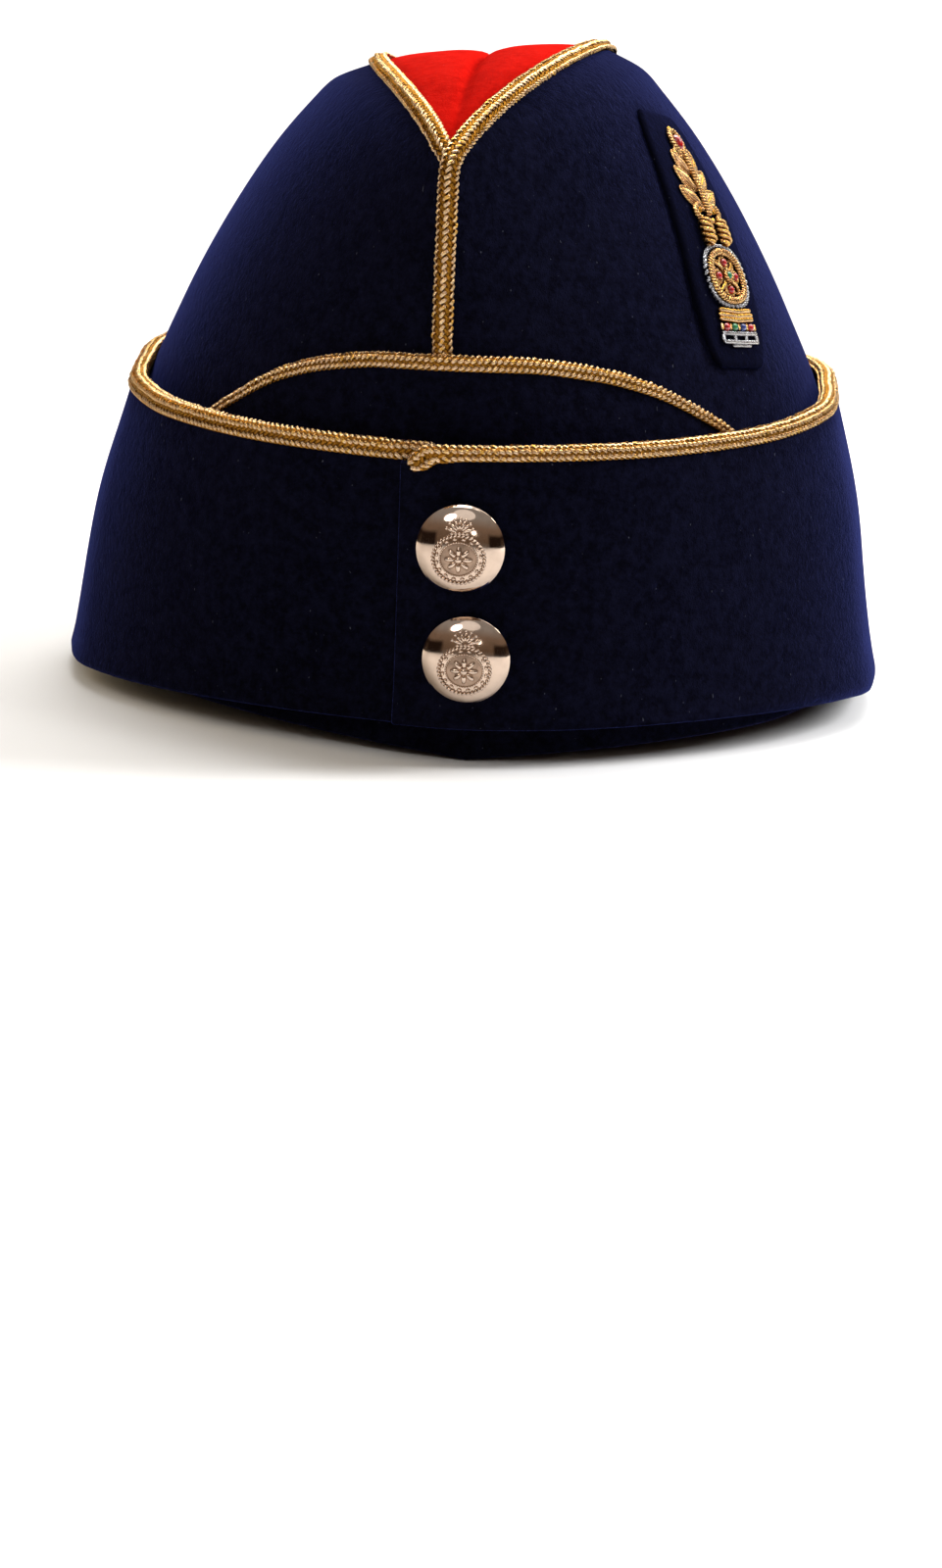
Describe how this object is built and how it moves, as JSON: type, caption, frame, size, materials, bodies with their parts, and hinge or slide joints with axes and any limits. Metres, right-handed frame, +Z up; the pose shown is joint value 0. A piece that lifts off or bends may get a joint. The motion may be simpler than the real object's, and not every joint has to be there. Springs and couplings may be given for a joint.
{
  "type": "side cap",
  "caption": "Officer's wool side cap with a creased felt top, folded peak, curtain turned up all round and lapped at the front, braided edges, domed buttons and an embroidered badge.",
  "frame": {"origin": "on the surface that the cap rests on, under the middle of its box", "axes": "+X to the wearer's left, -Y to the front where the buttons are, +Z up"},
  "size_m": [0.1959, 0.2197, 0.1496],
  "materials": {
    "navy_wool": "matt, finely napped",
    "scarlet_felt": "matt felt",
    "gilt_braid": "plaited gilt metal thread",
    "silvered_metal": "polished",
    "black_felt": "matt felt",
    "bullion": "embroidered gilt metal thread"
  },
  "bodies": {
    "root": {"side_left": "navy_wool", "side_right": "navy_wool", "crown_top": "scarlet_felt", "peak": "navy_wool", "peak_braid": "gilt_braid", "curtain": "navy_wool", "curtain_braid": "gilt_braid", "ridge_braid_left": "gilt_braid", "ridge_braid_right": "gilt_braid", "button_upper": "silvered_metal", "button_lower": "silvered_metal", "badge_patch": "black_felt", "badge": "bullion"}
  },
  "joints": []
}
